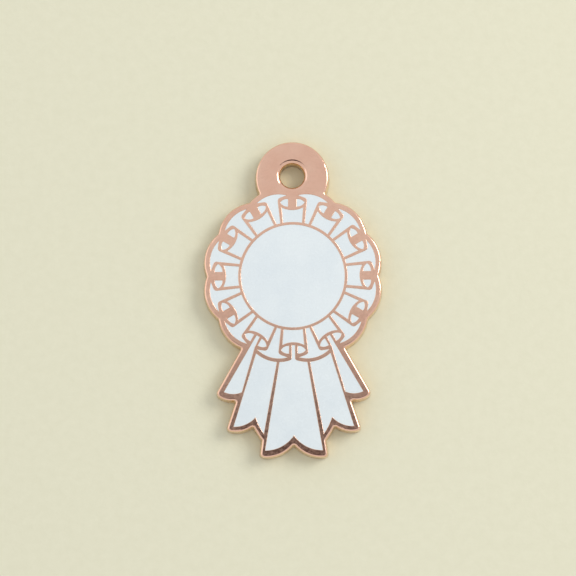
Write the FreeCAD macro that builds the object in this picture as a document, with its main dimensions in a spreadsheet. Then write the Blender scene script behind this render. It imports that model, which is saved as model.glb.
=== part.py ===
import FreeCAD, Part
import math
import os

import Sketcher

# Enamelled metal charm in the shape of an award ribbon, in millimetres.
# The origin is on the back face under the middle of the medallion, +Y points to the hanging
# loop and +Z out of the enamelled face. Angles are clockwise from +Y, as on a clock.

PLEATS = 12  # one at each hour of the clock
PITCH = 360.0 / PLEATS
HALF_PITCH = PITCH / 2
LEFT = -1
RIGHT = 1
FLAT = 1e-4  # two heights nearer than this are the same
SMOOTH = 0.02  # faces that turn by less than this, in radians, run on into each other
CELL_TOLERANCE = 1e-4  # share of the cells' volume by which the enamel may differ

SIZES = {
    # plate
    "plate_thickness": 2.0,
    "draft_angle": 5.0,
    "notch_radius": 0.2,
    "rim_radius": 0.26,
    "back_edge_radius": 0.12,
    "line_width": 0.32,
    # enamel
    "cell_depth": 0.7,
    "enamel_recess": 0.04,
    # medallion
    "medallion_radius": 6.14,
    # box pleats: heights are measured outwards from the ring round the medallion
    "pleat_foot_angle": 10.1,
    "pleat_head_angle": 8.9,
    "pleat_head_height": 1.86,
    "pleat_lip_radius": 2.7,
    "stem_half_width": 0.51,
    "eye_foot_height": 1.86,
    "eye_head_height": 2.77,
    "eye_tip_height": 2.48,
    "eye_tip_angle": 9.36,
    "eye_arc_radius": 1.03,
    # ruffles between the pleats, and the scalloped edge outside them
    "ruffle_foot_angle": 2.1,
    "ruffle_neck_angle": 4.2,
    "ruffle_neck_height": 2.98,
    "ruffle_tip_angle": 10.5,
    "ruffle_fold_radius": 0.4,
    "ruffle_height": 3.56,
    "ruffle_border": 0.66,
    "lower_ruffle_line": 0.42,
    "scallop_radius": 4.33,
    # hanging loop
    "loop_offset": 1.16,
    "loop_radius": 4.32,
    "hole_offset": 0.26,
    "hole_radius": 1.45,
    "hole_flare_radius": 0.5,
    # tails: reach is sideways from the middle, drop is down from the lowest scallop
    "root_reach": 5.32,
    "root_rise": 3.45,
    "outer_corner_reach": 9.1,
    "outer_corner_drop": 3.29,
    "outer_corner_radius": 0.55,
    "outer_hem_radius": 2.55,
    "outer_valley_reach": 6.68,
    "outer_valley_drop": 3.95,
    "middle_corner_reach": 7.86,
    "middle_corner_drop": 7.48,
    "middle_corner_radius": 0.4,
    "middle_hem_radius": 3.2,
    "middle_notch_reach": 4.75,
    "middle_notch_drop": 6.99,
    "middle_point_radius": 7.45,
    "inner_valley_reach": 3.7,
    "inner_valley_drop": 8.68,
    "centre_corner_reach": 3.95,
    "centre_corner_drop": 10.6,
    "centre_corner_radius": 0.4,
    "centre_hem_radius": 4.03,
    "centre_notch_drop": 9.12,
    # tails: how far each corner of a cell stands in from the corner of the plate
    "outer_corner_inset": 0.95,
    "outer_corner_lift": 0.27,
    "outer_valley_inset": 0.61,
    "outer_valley_lift": 0.89,
    "middle_corner_inset": 0.83,
    "middle_corner_lift": 0.4,
    "middle_notch_inset": 0.27,
    "middle_notch_lift": 0.99,
    "inner_valley_inset": 0.19,
    "inner_valley_lift": 0.74,
    "centre_corner_inset": 0.59,
    "centre_corner_lift": 0.73,
    "centre_notch_lift": 0.99,
    # tails: where they come out from under the rosette
    "neck_half_width": 0.2,
    "neck_foot_height": 1.8,
    "outer_neck_length": 1.34,
    "outer_neck_widening": 0.1,
    "neck_corner_radius": 0.3,
    "inner_root_reach": 1.79,
    "outer_root_reach": 4.37,
}

doc = FreeCAD.newDocument("award_ribbon_charm")
sheet = doc.addObject("Spreadsheet::Sheet", "Sizes")
for row, (alias, number) in enumerate(SIZES.items(), start=1):
    sheet.set(f"A{row}", alias)
    sheet.set(f"B{row}", str(number))
    sheet.setAlias(f"B{row}", alias)
doc.recompute()


class Size:
    """A length or an angle: its number now, and the sheet expression that gives it."""

    def __init__(self, value, text):
        self.value = float(value)
        self.text = text

    def __add__(self, other):
        other = sized(other)
        return Size(self.value + other.value, f"({self.text} + {other.text})")

    def __sub__(self, other):
        other = sized(other)
        return Size(self.value - other.value, f"({self.text} - {other.text})")

    def __mul__(self, other):
        other = sized(other)
        return Size(self.value * other.value, f"({self.text} * {other.text})")

    def __truediv__(self, other):
        other = sized(other)
        return Size(self.value / other.value, f"({self.text} / {other.text})")


def sized(item):
    """The item itself, or a fixed number as a Size."""
    return item if isinstance(item, Size) else Size(item, f"({float(item)})")


def named(alias):
    """A size kept in the sheet."""
    return Size(SIZES[alias], f"Sizes.{alias}")


def sine(angle):
    angle = sized(angle)
    return Size(math.sin(math.radians(angle.value)), f"sin({angle.text})")


def cosine(angle):
    angle = sized(angle)
    return Size(math.cos(math.radians(angle.value)), f"cos({angle.text})")


def root(square):
    return Size(math.sqrt(square.value), f"sqrt({square.text})")


def clock_point(radius, angle):
    """The point at a radius from the middle and an angle clockwise from +Y."""
    return radius * sine(angle), radius * cosine(angle)


class Corner:
    """A corner of an outline, and the side that leaves it.

    bow is the radius of that side, or None where it is straight. It bulges to the right of the
    way it runs where turn is 1, and to the left where turn is -1. rounding is the radius that
    softens the corner, or None where it is sharp.
    """

    def __init__(self, point, bow=None, turn=1, rounding=None):
        self.x = sized(point[0])
        self.y = sized(point[1])
        self.bow = bow
        self.turn = turn
        self.rounding = rounding

    @property
    def place(self):
        return FreeCAD.Vector(self.x.value, self.y.value, 0)


def mirrored(corners, side):
    """The outline as drawn for the left, or turned over for the right."""
    if side == LEFT:
        return corners
    return [
        Corner((corner.x * -1, corner.y), corner.bow, -corner.turn, corner.rounding)
        for corner in corners
    ]


def bow_centre(corner, following):
    """The centre of the arc that leaves a corner."""
    start, end = corner.place, following.place
    chord = end - start
    rise = math.sqrt(corner.bow.value**2 - (chord.Length / 2) ** 2)
    right = FreeCAD.Vector(chord.y, -chord.x, 0).normalize()
    return (start + end) * 0.5 - right * (rise * corner.turn)


def heading(corner, following, place):
    """The direction of travel at a place on the side that leaves a corner."""
    if corner.bow is None:
        return (following.place - corner.place).normalize()
    spoke = place - bow_centre(corner, following)
    return FreeCAD.Vector(-spoke.y, spoke.x, 0).normalize() * corner.turn


def side_geometry(corner, following, start, end):
    """The line or arc between two places, and which of its ends comes first."""
    if corner.bow is None:
        return Part.LineSegment(start, end), 1, 2
    centre = bow_centre(corner, following)
    first, last = (start, end) if corner.turn > 0 else (end, start)
    angles = [math.atan2(place.y - centre.y, place.x - centre.x) for place in (first, last)]
    circle = Part.Circle(centre, FreeCAD.Vector(0, 0, 1), corner.bow.value)
    arc = Part.ArcOfCircle(circle, *angles)
    return (arc, 1, 2) if corner.turn > 0 else (arc, 2, 1)


def bind(sketch, kind, *parts):
    """Adds a constraint whose last part is a Size, and ties it to the sheet."""
    size = parts[-1]
    number = sketch.addConstraint(Sketcher.Constraint(kind, *parts[:-1], size.value))
    sketch.setExpression(f"Constraints[{number}]", size.text)


def pin(sketch, geometry, end, corner):
    """Holds an end of a side, or a point, at a corner's place."""
    bind(sketch, "DistanceX", -1, 1, geometry, end, corner.x)
    bind(sketch, "DistanceY", -1, 1, geometry, end, corner.y)


def draw(sketch, corners):
    """Draws a closed outline with every corner and radius tied to the sheet."""
    count = len(corners)
    starts, ends, headings = [], [], []
    for index, corner in enumerate(corners):
        before, after = corners[index - 1], corners[(index + 1) % count]
        arriving = heading(before, corner, corner.place)
        leaving = heading(corner, after, corner.place)
        reach = 0.0
        if corner.rounding:
            reach = corner.rounding.value * math.tan(arriving.getAngle(leaving) / 2)
        ends.append(corner.place - arriving * reach)
        starts.append(corner.place + leaving * reach)
        headings.append((arriving, leaving))
    sides = []
    for index, corner in enumerate(corners):
        after = (index + 1) % count
        shape, first, last = side_geometry(corner, corners[after], starts[index], ends[after])
        geometry = sketch.addGeometry(shape, False)
        sides.append((geometry, first, last))
        if corner.bow:
            bind(sketch, "Radius", geometry, corner.bow)
    for index, corner in enumerate(corners):
        arriving_side, _, arriving_end = sides[index - 1]
        leaving_side, leaving_end, _ = sides[index]
        if not corner.rounding:
            link = (arriving_side, arriving_end, leaving_side, leaving_end)
            sketch.addConstraint(Sketcher.Constraint("Coincident", *link))
            pin(sketch, leaving_side, leaving_end, corner)
            continue
        arriving, leaving = headings[index]
        turn = 1 if arriving.cross(leaving).z > 0 else -1
        inward = FreeCAD.Vector(-arriving.y, arriving.x, 0) * turn
        centre = ends[index] + inward * corner.rounding.value
        first, last = (ends[index], starts[index]) if turn > 0 else (starts[index], ends[index])
        angles = [math.atan2(place.y - centre.y, place.x - centre.x) for place in (first, last)]
        circle = Part.Circle(centre, FreeCAD.Vector(0, 0, 1), corner.rounding.value)
        arc = sketch.addGeometry(Part.ArcOfCircle(circle, *angles), False)
        first, last = (1, 2) if turn > 0 else (2, 1)
        sketch.addConstraint(Sketcher.Constraint("Tangent", arriving_side, arriving_end, arc, first))
        sketch.addConstraint(Sketcher.Constraint("Tangent", leaving_side, leaving_end, arc, last))
        bind(sketch, "Radius", arc, corner.rounding)
        point = sketch.addGeometry(Part.Point(corner.place), True)
        sketch.addConstraint(Sketcher.Constraint("PointOnObject", point, 1, arriving_side))
        sketch.addConstraint(Sketcher.Constraint("PointOnObject", point, 1, leaving_side))
        pin(sketch, point, 1, corner)


def draw_circle(sketch, centre_height, radius):
    """Draws a circle on the Y axis."""
    centre = FreeCAD.Vector(0, centre_height.value, 0)
    circle = Part.Circle(centre, FreeCAD.Vector(0, 0, 1), radius.value)
    geometry = sketch.addGeometry(circle, False)
    sketch.addConstraint(Sketcher.Constraint("PointOnObject", geometry, 3, -2))
    bind(sketch, "DistanceY", -1, 1, geometry, 3, centre_height)
    bind(sketch, "Radius", geometry, radius)


# Sizes that follow from the ones in the sheet.
ring_radius = named("medallion_radius") + named("line_width")
ruffle_peak = ring_radius + named("ruffle_height")
scallop_peak = ruffle_peak + named("ruffle_border")
scallop_centre = scallop_peak - named("scallop_radius")
ruffle_arc = named("scallop_radius") - named("ruffle_border")
scallop_chord = scallop_centre * sine(HALF_PITCH)
scallop_notch = scallop_centre * cosine(HALF_PITCH) + root(
    named("scallop_radius") * named("scallop_radius") - scallop_chord * scallop_chord
)
loop_height = scallop_peak + named("loop_offset")
hole_height = loop_height + named("hole_offset")
neck_foot = ring_radius + named("neck_foot_height")


def under_rosette(drop):
    """The height of a point a given drop below the lowest scallop."""
    return scallop_peak * -1 - drop


def tail_point(name):
    """A corner of the plate's left tails."""
    return named(f"{name}_reach") * -1, under_rosette(named(f"{name}_drop"))


def cell_point(name):
    """The corner of a left tail's cell that stands in from a corner of the plate."""
    x, y = tail_point(name)
    return x + named(f"{name}_inset"), y + named(f"{name}_lift")


def on_lower_line(x):
    """The point under the ruffle at half past six, on the lower edge of its metal line."""
    centre_x, centre_y = clock_point(scallop_centre, 180 + HALF_PITCH)
    radius = ruffle_arc + named("lower_ruffle_line")
    across = x - centre_x
    return x, centre_y - root(radius * radius - across * across)


def rosette_edge():
    """The scalloped edge: one arc from each pleat's notch to the next, anticlockwise."""
    return [
        Corner(clock_point(scallop_notch, -PITCH * hour), named("scallop_radius"))
        for hour in range(PLEATS)
    ]


def tails_edge():
    """The lower edge of the plate, from the left root round to the right one."""
    left = [
        Corner((named("root_reach") * -1, under_rosette(named("root_rise") * -1))),
        Corner(
            tail_point("outer_corner"),
            named("outer_hem_radius"),
            rounding=named("outer_corner_radius"),
        ),
        Corner(tail_point("outer_valley")),
        Corner(
            tail_point("middle_corner"),
            named("middle_hem_radius"),
            rounding=named("middle_corner_radius"),
        ),
        Corner(tail_point("middle_notch"), named("middle_point_radius")),
        Corner(tail_point("inner_valley")),
        Corner(
            tail_point("centre_corner"),
            named("centre_hem_radius"),
            rounding=named("centre_corner_radius"),
        ),
    ]
    notch = Corner((0, under_rosette(named("centre_notch_drop"))), named("centre_hem_radius"))
    right = []
    for index in range(len(left) - 1, -1, -1):
        corner = left[index]
        side = left[index - 1] if index else Corner((0, 0))
        right.append(Corner((corner.x * -1, corner.y), side.bow, 1, corner.rounding))
    return left + [notch] + right


def pleat_front():
    """The flat front of a box pleat, under the lip of its fold."""
    foot_left = clock_point(ring_radius, named("pleat_foot_angle") * -1)
    foot_right = clock_point(ring_radius, named("pleat_foot_angle"))
    head_radius = ring_radius + named("pleat_head_height")
    head_left = clock_point(head_radius, named("pleat_head_angle") * -1)
    head_right = clock_point(head_radius, named("pleat_head_angle"))
    return [
        Corner(foot_left, ring_radius, -1),
        Corner(foot_right),
        Corner(head_right, named("pleat_lip_radius"), -1),
        Corner(head_left),
    ]


def fold_eye(side):
    """The inside of the fold that shows on one side of a pleat's stem."""
    edge = named("stem_half_width") * -1
    tip = clock_point(ring_radius + named("eye_tip_height"), named("eye_tip_angle") * -1)
    corners = [
        Corner((edge, ring_radius + named("eye_foot_height"))),
        Corner((edge, ring_radius + named("eye_head_height")), named("eye_arc_radius")),
        Corner(tip, named("eye_arc_radius")),
    ]
    return mirrored(corners, side)


def ruffle():
    """A ruffle on its own axis: a stem that opens into a cap under the scallop."""
    tip_x = ruffle_peak * sine(named("ruffle_tip_angle"))
    tip_y = scallop_centre + root(ruffle_arc * ruffle_arc - tip_x * tip_x)
    neck_x, neck_y = clock_point(
        ring_radius + named("ruffle_neck_height"), named("ruffle_neck_angle")
    )
    foot_left = clock_point(ring_radius, named("ruffle_foot_angle") * -1)
    foot_right = clock_point(ring_radius, named("ruffle_foot_angle"))
    fold = named("ruffle_fold_radius")
    return [
        Corner(foot_left, ring_radius, -1),
        Corner(foot_right),
        Corner((neck_x, neck_y), rounding=fold),
        Corner((tip_x, tip_y), ruffle_arc),
        Corner((tip_x * -1, tip_y)),
        Corner((neck_x * -1, neck_y), rounding=fold),
    ]


def centre_tail():
    """The middle tail: a narrow neck that comes out between two ruffles and opens out."""
    neck = named("neck_half_width")
    lower_line = ruffle_arc + named("lower_ruffle_line")
    root_x = named("inner_root_reach") - named("line_width") / 2
    corner_x, corner_y = cell_point("centre_corner")
    hem = named("centre_hem_radius")
    peak = under_rosette(named("centre_notch_drop")) + named("centre_notch_lift")
    neck_end = on_lower_line(neck * -1)
    side_top = on_lower_line(root_x * -1)
    soft = named("neck_corner_radius")
    return [
        Corner((neck * -1, neck_foot * -1)),
        Corner(neck_end, lower_line, -1, rounding=soft),
        Corner(side_top),
        Corner((corner_x, corner_y), hem),
        Corner((0, peak), hem),
        Corner((corner_x * -1, corner_y)),
        Corner((side_top[0] * -1, side_top[1]), lower_line, -1),
        Corner((neck, neck_end[1]), rounding=soft),
        Corner((neck, neck_foot * -1)),
    ]


def middle_tail(side):
    """The tail on one side of the centre, from the ruffle's lower line to its forked hem."""
    lower_line = ruffle_arc + named("lower_ruffle_line")
    inner = on_lower_line((named("inner_root_reach") + named("line_width") / 2) * -1)
    outer = on_lower_line(named("outer_root_reach") * -1)
    corners = [
        Corner(outer),
        Corner(cell_point("middle_corner"), named("middle_hem_radius")),
        Corner(cell_point("middle_notch"), named("middle_point_radius")),
        Corner(cell_point("inner_valley")),
        Corner(inner, lower_line, -1),
    ]
    return mirrored(corners, side)


def outer_tail(side):
    """The outermost tail on one side, from under the pleat at seven or five o'clock."""
    half = named("neck_half_width")
    lean = PITCH
    wide = half + named("outer_neck_widening")
    bend_radius = neck_foot + named("outer_neck_length")

    def beside(radius, offset):
        """A point at a radius on the seven o'clock axis, moved sideways to its left."""
        x = radius * sine(lean) * -1 - offset * cosine(lean)
        y = radius * cosine(lean) * -1 + offset * sine(lean)
        return x, y

    corners = [
        Corner(beside(neck_foot, half)),
        Corner(cell_point("outer_corner"), named("outer_hem_radius")),
        Corner(cell_point("outer_valley")),
        Corner(beside(bend_radius, wide * -1)),
        Corner(beside(neck_foot, half * -1)),
    ]
    return mirrored(corners, side)


def origin_part(body, role):
    """One of a body's own origin planes or axes."""
    return next(item for item in body.Origin.OriginFeatures if item.Role == role)


def new_body(name):
    body = doc.addObject("PartDesign::Body", name)
    body.Label = name
    return body


def new_sketch(body, name, height):
    """A sketch on the body's own XY plane, raised to a height."""
    sketch = body.newObject("Sketcher::SketchObject", name)
    sketch.AttachmentSupport = [(origin_part(body, "XY_Plane"), "")]
    sketch.MapMode = "FlatFace"
    sketch.setExpression("AttachmentOffset.Base.z", sized(height).text)
    return sketch


def pad(body, sketch, length):
    """Raises a sketch upwards."""
    feature = body.newObject("PartDesign::Pad", f"{sketch.Name}_pad")
    feature.Profile = sketch
    feature.setExpression("Length", length.text)
    return feature


def pocket(body, sketch, depth):
    """Cuts a sketch downwards."""
    feature = body.newObject("PartDesign::Pocket", f"{sketch.Name}_pocket")
    feature.Profile = sketch
    feature.setExpression("Length", depth.text)
    return feature


def level(edge, height):
    """Whether an edge lies flat at a height."""
    box = edge.BoundBox
    return box.ZLength < FLAT and abs(box.ZMax - height) < FLAT


def fold(edge, shape):
    """The angle in radians by which two faces turn where they meet at an edge."""
    middle = edge.valueAt((edge.FirstParameter + edge.LastParameter) / 2)
    normals = []
    for face in shape.ancestorsOfType(edge, Part.Face):
        normals.append(face.normalAt(*face.Surface.parameter(middle)))
    return normals[0].getAngle(normals[-1])


def round_edges(body, base, name, radius, test):
    """Rounds every edge of the base feature that passes a test."""
    doc.recompute()
    edges = enumerate(base.Shape.Edges, start=1)
    feature = body.newObject("PartDesign::Fillet", name)
    feature.Base = (base, [f"Edge{number}" for number, edge in edges if test(edge, base.Shape)])
    feature.setExpression("Radius", radius.text)
    return feature


def raise_blank(body):
    """The plate's outline with its walls drafted outwards to the back, and its edges rounded."""
    thickness = named("plate_thickness")
    draw(new_sketch(body, "rosette_outline", 0), rosette_edge())
    draw_circle(new_sketch(body, "loop_outline", 0), loop_height, named("loop_radius"))
    draw(new_sketch(body, "tails_outline", 0), tails_edge())
    for name in ("rosette_outline", "loop_outline", "tails_outline"):
        blank = pad(body, doc.getObject(name), thickness)
    doc.recompute()

    faces = list(enumerate(blank.Shape.Faces, start=1))
    walls = [f"Face{number}" for number, face in faces if face.BoundBox.ZLength > FLAT]
    tops = [f"Face{number}" for number, face in faces if face.BoundBox.ZMin > FLAT]
    draft = body.newObject("PartDesign::Draft", "wall_draft")
    draft.Base = (blank, walls)
    draft.NeutralPlane = (blank, tops)
    draft.setExpression("Angle", named("draft_angle").text)

    def upright_notch(edge, shape):
        return edge.BoundBox.ZLength > thickness.value / 2 and fold(edge, shape) > SMOOTH

    def front_edge(edge, shape):
        return level(edge, thickness.value)

    def back_edge(edge, shape):
        return level(edge, 0)

    notches = round_edges(body, draft, "notch_rounding", named("notch_radius"), upright_notch)
    rim = round_edges(body, notches, "rim_rounding", named("rim_radius"), front_edge)
    return round_edges(body, rim, "back_rounding", named("back_edge_radius"), back_edge)


def cut_hole(body):
    """The hole in the loop: a straight bore that flares to the front."""
    thickness = named("plate_thickness")
    sketch = new_sketch(body, "loop_hole", thickness)
    draw_circle(sketch, hole_height, named("hole_radius"))
    hole = pocket(body, sketch, thickness)

    def hole_edge(edge, shape):
        round_edge = isinstance(edge.Curve, Part.Circle) and edge.isClosed()
        return round_edge and level(edge, thickness.value)

    return round_edges(body, hole, "hole_flare", named("hole_flare_radius"), hole_edge)


def cut_cells(body):
    """The recessed cells that hold the enamel."""
    thickness, depth = named("plate_thickness"), named("cell_depth")
    sketch = new_sketch(body, "medallion_cell", thickness)
    draw_circle(sketch, sized(0), named("medallion_radius"))
    pocket(body, sketch, depth)

    sketch = new_sketch(body, "pleat_cells", thickness)
    draw(sketch, pleat_front())
    draw(sketch, fold_eye(LEFT))
    draw(sketch, fold_eye(RIGHT))
    pleats = pocket(body, sketch, depth)
    sketch = new_sketch(body, "ruffle_cell", thickness)
    sketch.AttachmentOffset = FreeCAD.Placement(FreeCAD.Vector(), clockwise(HALF_PITCH))
    draw(sketch, ruffle())
    ruffles = pocket(body, sketch, depth)
    doc.recompute()
    pattern = body.newObject("PartDesign::PolarPattern", "round_the_rosette")
    pattern.Originals = [pleats, ruffles]
    pattern.Axis = (origin_part(body, "Z_Axis"), [""])
    pattern.Angle = 360
    pattern.Occurrences = PLEATS
    body.Tip = pattern

    sketch = new_sketch(body, "centre_tail_cell", thickness)
    draw(sketch, centre_tail())
    pocket(body, sketch, depth)
    sketch = new_sketch(body, "left_tail_cells", thickness)
    draw(sketch, middle_tail(LEFT))
    draw(sketch, outer_tail(LEFT))
    tails = pocket(body, sketch, depth)
    doc.recompute()
    mirror = body.newObject("PartDesign::Mirrored", "right_tail_cells")
    mirror.Originals = [tails]
    mirror.MirrorPlane = (origin_part(body, "YZ_Plane"), [""])
    body.Tip = mirror
    return mirror


def plate():
    """The struck plate, and its shape before and after its cells are cut."""
    body = new_body("struck_plate")
    raise_blank(body)
    blank = cut_hole(body)
    return body, blank, cut_cells(body)


def clockwise(angle):
    """A turn about +Z, clockwise as seen from the front."""
    return FreeCAD.Rotation(FreeCAD.Vector(0, 0, 1), -angle)


def enamel(name, outline, angle=0):
    """One block of enamel that fills a cell from its floor to just under the metal."""
    body = new_body(f"enamel_{name}")
    sketch = new_sketch(body, f"{name}_fill", named("plate_thickness") - named("cell_depth"))
    outline(sketch)
    pad(body, sketch, named("cell_depth") - named("enamel_recess"))
    body.Placement = FreeCAD.Placement(FreeCAD.Vector(), clockwise(angle))
    return body


def enamels():
    """Every enamel block, named by the hour it stands at."""

    def drawn(corners):
        return lambda sketch: draw(sketch, corners)

    def medallion(sketch):
        draw_circle(sketch, sized(0), named("medallion_radius"))

    blocks = [enamel("medallion", medallion)]
    for hour in range(1, PLEATS + 1):
        angle = PITCH * hour
        blocks.append(enamel(f"pleat_{hour:02d}", drawn(pleat_front()), angle))
        blocks.append(enamel(f"fold_left_{hour:02d}", drawn(fold_eye(LEFT)), angle))
        blocks.append(enamel(f"fold_right_{hour:02d}", drawn(fold_eye(RIGHT)), angle))
        # The ruffle of an hour stands half way to the next one.
        blocks.append(enamel(f"ruffle_{hour:02d}", drawn(ruffle()), angle + HALF_PITCH))
    blocks.append(enamel("tail_centre", drawn(centre_tail())))
    for side, word in ((LEFT, "left"), (RIGHT, "right")):
        blocks.append(enamel(f"tail_middle_{word}", drawn(middle_tail(side))))
        blocks.append(enamel(f"tail_outer_{word}", drawn(outer_tail(side))))
    return blocks


def check(bodies, blank, cells):
    """Stops the build where a feature failed, or where the cells and the enamel disagree."""
    for item in doc.Objects:
        failed = {"Invalid", "Error"} & set(item.State)
        if failed:
            raise RuntimeError(f"{item.Name} failed: {item.State}")
    for body in bodies:
        if body.Shape.isNull() or not body.Shape.isValid():
            raise RuntimeError(f"{body.Label} has no valid shape")
    filled = sum(body.Shape.Volume for body in bodies[1:])
    full = SIZES["cell_depth"] / (SIZES["cell_depth"] - SIZES["enamel_recess"])
    cut = blank.Shape.Volume - cells.Shape.Volume
    if abs(cut - filled * full) > CELL_TOLERANCE * cut:
        raise RuntimeError(f"the cells hold {cut} but the enamel needs {filled * full}")


def main():
    body, blank, cells = plate()
    bodies = [body] + enamels()
    doc.recompute()
    check(bodies, blank, cells)
    os.makedirs("parts", exist_ok=True)
    for item in bodies:
        item.Shape.exportStep(f"parts/{item.Label}.step")


main()
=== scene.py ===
import math

import bpy
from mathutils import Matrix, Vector


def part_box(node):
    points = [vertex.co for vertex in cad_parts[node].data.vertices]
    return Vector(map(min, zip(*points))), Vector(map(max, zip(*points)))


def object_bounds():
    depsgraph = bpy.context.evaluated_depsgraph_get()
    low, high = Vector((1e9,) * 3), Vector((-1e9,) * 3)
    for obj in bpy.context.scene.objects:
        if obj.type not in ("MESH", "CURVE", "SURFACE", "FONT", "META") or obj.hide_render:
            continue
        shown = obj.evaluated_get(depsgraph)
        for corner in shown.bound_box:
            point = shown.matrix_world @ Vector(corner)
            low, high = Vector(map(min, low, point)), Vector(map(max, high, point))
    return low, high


# An enamelled metal charm in the shape of an award ribbon, lying face up on a pale floor.
# Metres, in the frame of the CAD part: +Y towards the hanging loop, +Z out of the front face.

MM = 0.001

# The camera aims at a point on the charm's face. Angles are in degrees.
CAMERA_TILT = 8.0
CAMERA_ROLL = -0.36
CAMERA_DISTANCE = 192 * MM
AIM_X = -0.75 * MM
AIM_Y = -1.46 * MM
VIEW_WIDTH = 68.0 * MM
SENSOR_WIDTH = 36.0

# The dark patch overhead: degrees from its middle to where it starts and ends fading out.
PATCH_CORE = 10.5
PATCH_EDGE = 15.5
PATCH_COLOUR = (0.05, 0.03, 0.03)
ROOM_COLOUR = (0.79, 0.80, 0.815)

# Lights: place and size in metres, power in watts.
KEY = {"place": (0.40, 0.20, 0.38), "size": 0.28, "power": 1.6, "colour": (1.0, 0.98, 0.95)}
FILL = {"place": (-0.45, 0.1, 0.30), "size": 0.4, "power": 0.25, "colour": (0.95, 0.98, 1.0)}

# Each surface varies between two colours.
PINK = ((0.84, 0.51, 0.375), (0.88, 0.56, 0.42))
# The walls' pair of colours is a painted reflection of the cream floor mirrored in the upright
# walls.
FLOOR_REFLECTION_GOLD = ((0.80, 0.52, 0.26), (0.98, 0.74, 0.44))
COOL_WHITE = ((0.69, 0.75, 0.775), (0.73, 0.785, 0.80))
CREAM = ((0.70, 0.68, 0.515), (0.725, 0.705, 0.54))

# The shoulders of the raised lines: only their square edges are rounded.
SHOULDER_WIDTH = 0.035 * MM
SHOULDER_SEGMENTS = 2
SQUARE_ANGLE = 80
WELD_REACH = 0.0002 * MM

FLOOR_SIZE = 1.2
FLOOR_GAP = 0.02 * MM

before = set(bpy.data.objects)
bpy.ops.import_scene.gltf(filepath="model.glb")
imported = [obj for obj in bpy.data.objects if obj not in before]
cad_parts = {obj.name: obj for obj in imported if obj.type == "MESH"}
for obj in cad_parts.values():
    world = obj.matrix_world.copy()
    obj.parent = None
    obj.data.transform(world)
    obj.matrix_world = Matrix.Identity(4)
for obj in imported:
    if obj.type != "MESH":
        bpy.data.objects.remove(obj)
cad_low, cad_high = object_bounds()
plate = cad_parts["struck_plate"]
enamel_names = sorted(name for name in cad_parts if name.startswith("enamel_"))
plate_low, plate_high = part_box("struck_plate")


def colour_sockets(sockets):
    """The colour sockets of a Mix node, which also has number and vector ones."""
    return [socket for socket in sockets if socket.type == "RGBA"]


class Nodes:
    """A short way to add and join the nodes of a material."""

    def __init__(self, name):
        self.material = bpy.data.materials.new(name)
        self.material.use_nodes = True
        self.tree = self.material.node_tree
        self.shader = self.tree.nodes["Principled BSDF"]
        self.coordinates = self.add("ShaderNodeTexCoord")
        self.place = self.coordinates.outputs["Object"]

    def add(self, kind, **settings):
        node = self.tree.nodes.new(kind)
        for key, value in settings.items():
            setattr(node, key, value)
        return node

    def join(self, output, socket):
        self.tree.links.new(output, socket)

    def noise(self, scale, detail=3.0, roughness=0.5):
        """Noise whose scale is in waves per metre."""
        node = self.add("ShaderNodeTexNoise")
        node.inputs["Scale"].default_value = scale
        node.inputs["Detail"].default_value = detail
        node.inputs["Roughness"].default_value = roughness
        self.join(self.place, node.inputs["Vector"])
        return node.outputs["Fac"]

    def spread(self, value, low, high, start=0.35, end=0.65):
        """Maps a value that runs from start to end onto low to high."""
        node = self.add("ShaderNodeMapRange")
        self.join(value, node.inputs["Value"])
        node.inputs["From Min"].default_value = start
        node.inputs["From Max"].default_value = end
        node.inputs["To Min"].default_value = low
        node.inputs["To Max"].default_value = high
        return node.outputs["Result"]

    def colour_mix(self, factor):
        """A colour mixer: its two colour inputs and its result."""
        node = self.add("ShaderNodeMix", data_type="RGBA")
        self.join(factor, node.inputs["Factor"])
        return colour_sockets(node.inputs), colour_sockets(node.outputs)[0]

    def blend(self, factor, pair):
        """A colour between the two fixed colours of a pair."""
        colours, result = self.colour_mix(factor)
        for socket, colour in zip(colours, pair):
            socket.default_value = (*colour, 1)
        return result

    def mix(self, factor, first, second):
        """A colour between two colours that vary."""
        colours, result = self.colour_mix(factor)
        self.join(first, colours[0])
        self.join(second, colours[1])
        return result

    def math(self, operation, first, second):
        """Arithmetic on a varying value; the second may be a number."""
        node = self.add("ShaderNodeMath", operation=operation)
        self.join(first, node.inputs[0])
        if isinstance(second, float):
            node.inputs[1].default_value = second
        else:
            self.join(second, node.inputs[1])
        return node.outputs["Value"]

    def upright(self):
        """1 on an upright wall, 0 on a level face."""
        split = self.add("ShaderNodeSeparateXYZ")
        self.join(self.coordinates.outputs["Normal"], split.inputs["Vector"])
        level = self.add("ShaderNodeMath", operation="ABSOLUTE")
        self.join(split.outputs["Z"], level.inputs[0])
        return self.spread(level.outputs["Value"], 1.0, 0.0, start=0.35, end=0.75)

    def bump(self, height, distance, strength):
        """Surface relief, its height in metres."""
        node = self.add("ShaderNodeBump")
        node.inputs["Distance"].default_value = distance
        node.inputs["Strength"].default_value = strength
        self.join(height, node.inputs["Height"])
        self.join(node.outputs["Normal"], self.shader.inputs["Normal"])


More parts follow.
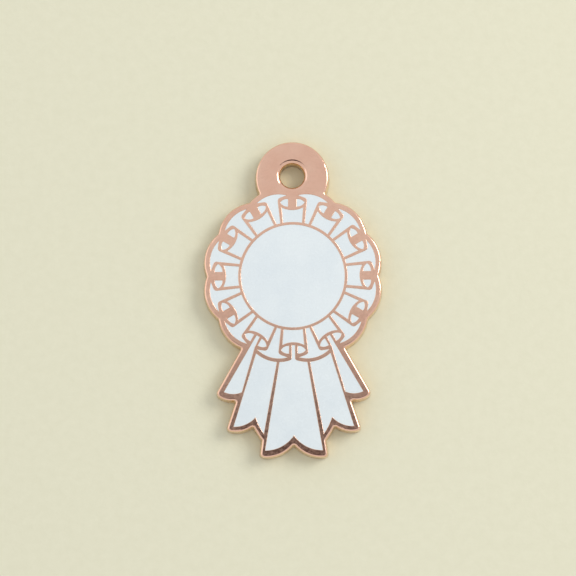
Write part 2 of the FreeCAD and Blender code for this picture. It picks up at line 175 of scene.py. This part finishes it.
def rose_gold():
    """Plating: pink and polished on the faces; the walls look cast and carry a painted
    reflection of the cream floor, a more golden colour.
    """
    nodes = Nodes("rose_gold_plating")
    wall = nodes.upright()
    warmth = nodes.spread(nodes.noise(420.0), 0.0, 1.0)
    face = nodes.blend(warmth, PINK)
    patches = nodes.spread(nodes.noise(1300.0, 5.0, 0.6), 0.0, 1.0)
    # Painted reflection: the upright walls get a more golden colour that stands for the cream
    # floor mirrored in them.
    painted_reflection = nodes.blend(patches, FLOOR_REFLECTION_GOLD)
    nodes.join(nodes.mix(wall, face, painted_reflection), nodes.shader.inputs["Base Color"])
    nodes.shader.inputs["Metallic"].default_value = 1.0
    haze = nodes.spread(nodes.noise(2600.0, 5.0, 0.6), 0.10, 0.19)
    nodes.join(haze, nodes.shader.inputs["Roughness"])
    ripple = nodes.math("MULTIPLY", nodes.noise(1500.0, 2.0), 0.06)
    casting = nodes.math("MULTIPLY", nodes.noise(2400.0, 4.0, 0.6), wall)
    nodes.bump(nodes.math("ADD", ripple, casting), 0.05 * MM, 0.8)
    return nodes.material


def white_enamel():
    """Ground and polished hard enamel: cool white, satin gloss, a trace of unevenness."""
    nodes = Nodes("white_enamel")
    cloud = nodes.spread(nodes.noise(300.0, 4.0), 0.0, 1.0)
    nodes.join(nodes.blend(cloud, COOL_WHITE), nodes.shader.inputs["Base Color"])
    gloss = nodes.spread(nodes.noise(1800.0, 4.0), 0.2, 0.32)
    nodes.join(gloss, nodes.shader.inputs["Roughness"])
    nodes.shader.inputs["IOR"].default_value = 1.52
    nodes.shader.inputs["Coat Weight"].default_value = 0.25
    nodes.shader.inputs["Coat Roughness"].default_value = 0.12
    nodes.bump(nodes.noise(900.0, 3.0), 0.006 * MM, 0.5)
    return nodes.material


def pale_card():
    """The floor: matt pale card with a fine tooth."""
    nodes = Nodes("pale_card")
    fibre = nodes.spread(nodes.noise(900.0, 6.0, 0.7), 0.0, 1.0)
    nodes.join(nodes.blend(fibre, CREAM), nodes.shader.inputs["Base Color"])
    nodes.shader.inputs["Roughness"].default_value = 0.9
    nodes.bump(nodes.noise(2200.0, 4.0), 0.03 * MM, 0.5)
    return nodes.material


def dress(obj, material):
    """Gives every material slot of a piece one material."""
    for slot in obj.material_slots:
        slot.material = material


def round_shoulders(obj):
    """Rounds the square edges of a CAD node with modifiers; its mesh stays as it is."""
    weld = obj.modifiers.new("weld", "WELD")
    weld.merge_threshold = WELD_REACH
    bevel = obj.modifiers.new("edge_rounding", "BEVEL")
    bevel.width = SHOULDER_WIDTH
    bevel.segments = SHOULDER_SEGMENTS
    bevel.limit_method = "ANGLE"
    bevel.angle_limit = math.radians(SQUARE_ANGLE)
    bevel.use_clamp_overlap = False
    bevel.harden_normals = True


def floor():
    """A pale sheet just under the charm's back face."""
    bpy.ops.mesh.primitive_plane_add(size=FLOOR_SIZE, location=(0, 0, cad_low.z - FLOOR_GAP))
    sheet = bpy.context.object
    sheet.name = "floor"
    sheet.data.materials.append(pale_card())


def area_light(name, place, size, power, colour):
    """A square soft light that faces the charm."""
    data = bpy.data.lights.new(name, "AREA")
    data.size = size
    data.energy = power
    data.color = colour
    lamp = bpy.data.objects.new(name, data)
    bpy.context.scene.collection.objects.link(lamp)
    lamp.location = place
    lamp.rotation_euler = (-Vector(place)).to_track_quat("-Z", "Y").to_euler()


def towards_camera():
    """The direction from the charm to the camera."""
    tilt = math.radians(CAMERA_TILT)
    return Vector((0, -math.sin(tilt), math.cos(tilt)))


def room():
    """A pale room with a dark patch overhead, where the camera and its stand block the light."""
    world = bpy.data.worlds.new("studio")
    world.use_nodes = True
    tree = world.node_tree
    direction = tree.nodes.new("ShaderNodeTexCoord").outputs["Generated"]
    aside = tree.nodes.new("ShaderNodeVectorMath")
    aside.operation = "DOT_PRODUCT"
    tree.links.new(direction, aside.inputs[0])
    aside.inputs[1].default_value = towards_camera()
    patch = tree.nodes.new("ShaderNodeMapRange")
    patch.interpolation_type = "SMOOTHSTEP"
    tree.links.new(aside.outputs["Value"], patch.inputs["Value"])
    patch.inputs["From Min"].default_value = math.cos(math.radians(PATCH_EDGE))
    patch.inputs["From Max"].default_value = math.cos(math.radians(PATCH_CORE))
    mixer = tree.nodes.new("ShaderNodeMix")
    mixer.data_type = "RGBA"
    tree.links.new(patch.outputs["Result"], mixer.inputs[0])
    pale, dark = colour_sockets(mixer.inputs)
    pale.default_value = (*ROOM_COLOUR, 1)
    dark.default_value = (*PATCH_COLOUR, 1)
    result = colour_sockets(mixer.outputs)[0]
    tree.links.new(result, tree.nodes["Background"].inputs["Color"])
    bpy.context.scene.world = world


def camera():
    """Nearly overhead, standing a little towards the tails."""
    data = bpy.data.cameras.new("camera")
    eye = bpy.data.objects.new("camera", data)
    bpy.context.scene.collection.objects.link(eye)
    aim = Vector((AIM_X, AIM_Y, plate_high.z))
    eye.location = aim + towards_camera() * CAMERA_DISTANCE
    eye.rotation_euler = (math.radians(CAMERA_TILT), 0, math.radians(CAMERA_ROLL))
    data.sensor_width = SENSOR_WIDTH
    data.lens = SENSOR_WIDTH * CAMERA_DISTANCE / VIEW_WIDTH
    data.clip_start = 0.01
    data.clip_end = 5.0
    bpy.context.scene.camera = eye


dress(plate, rose_gold())
enamel = white_enamel()
for name in enamel_names:
    dress(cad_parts[name], enamel)
round_shoulders(plate)
floor()
area_light("key", **KEY)
area_light("fill", **FILL)
room()
camera()
bpy.context.scene.view_settings.view_transform = "Standard"
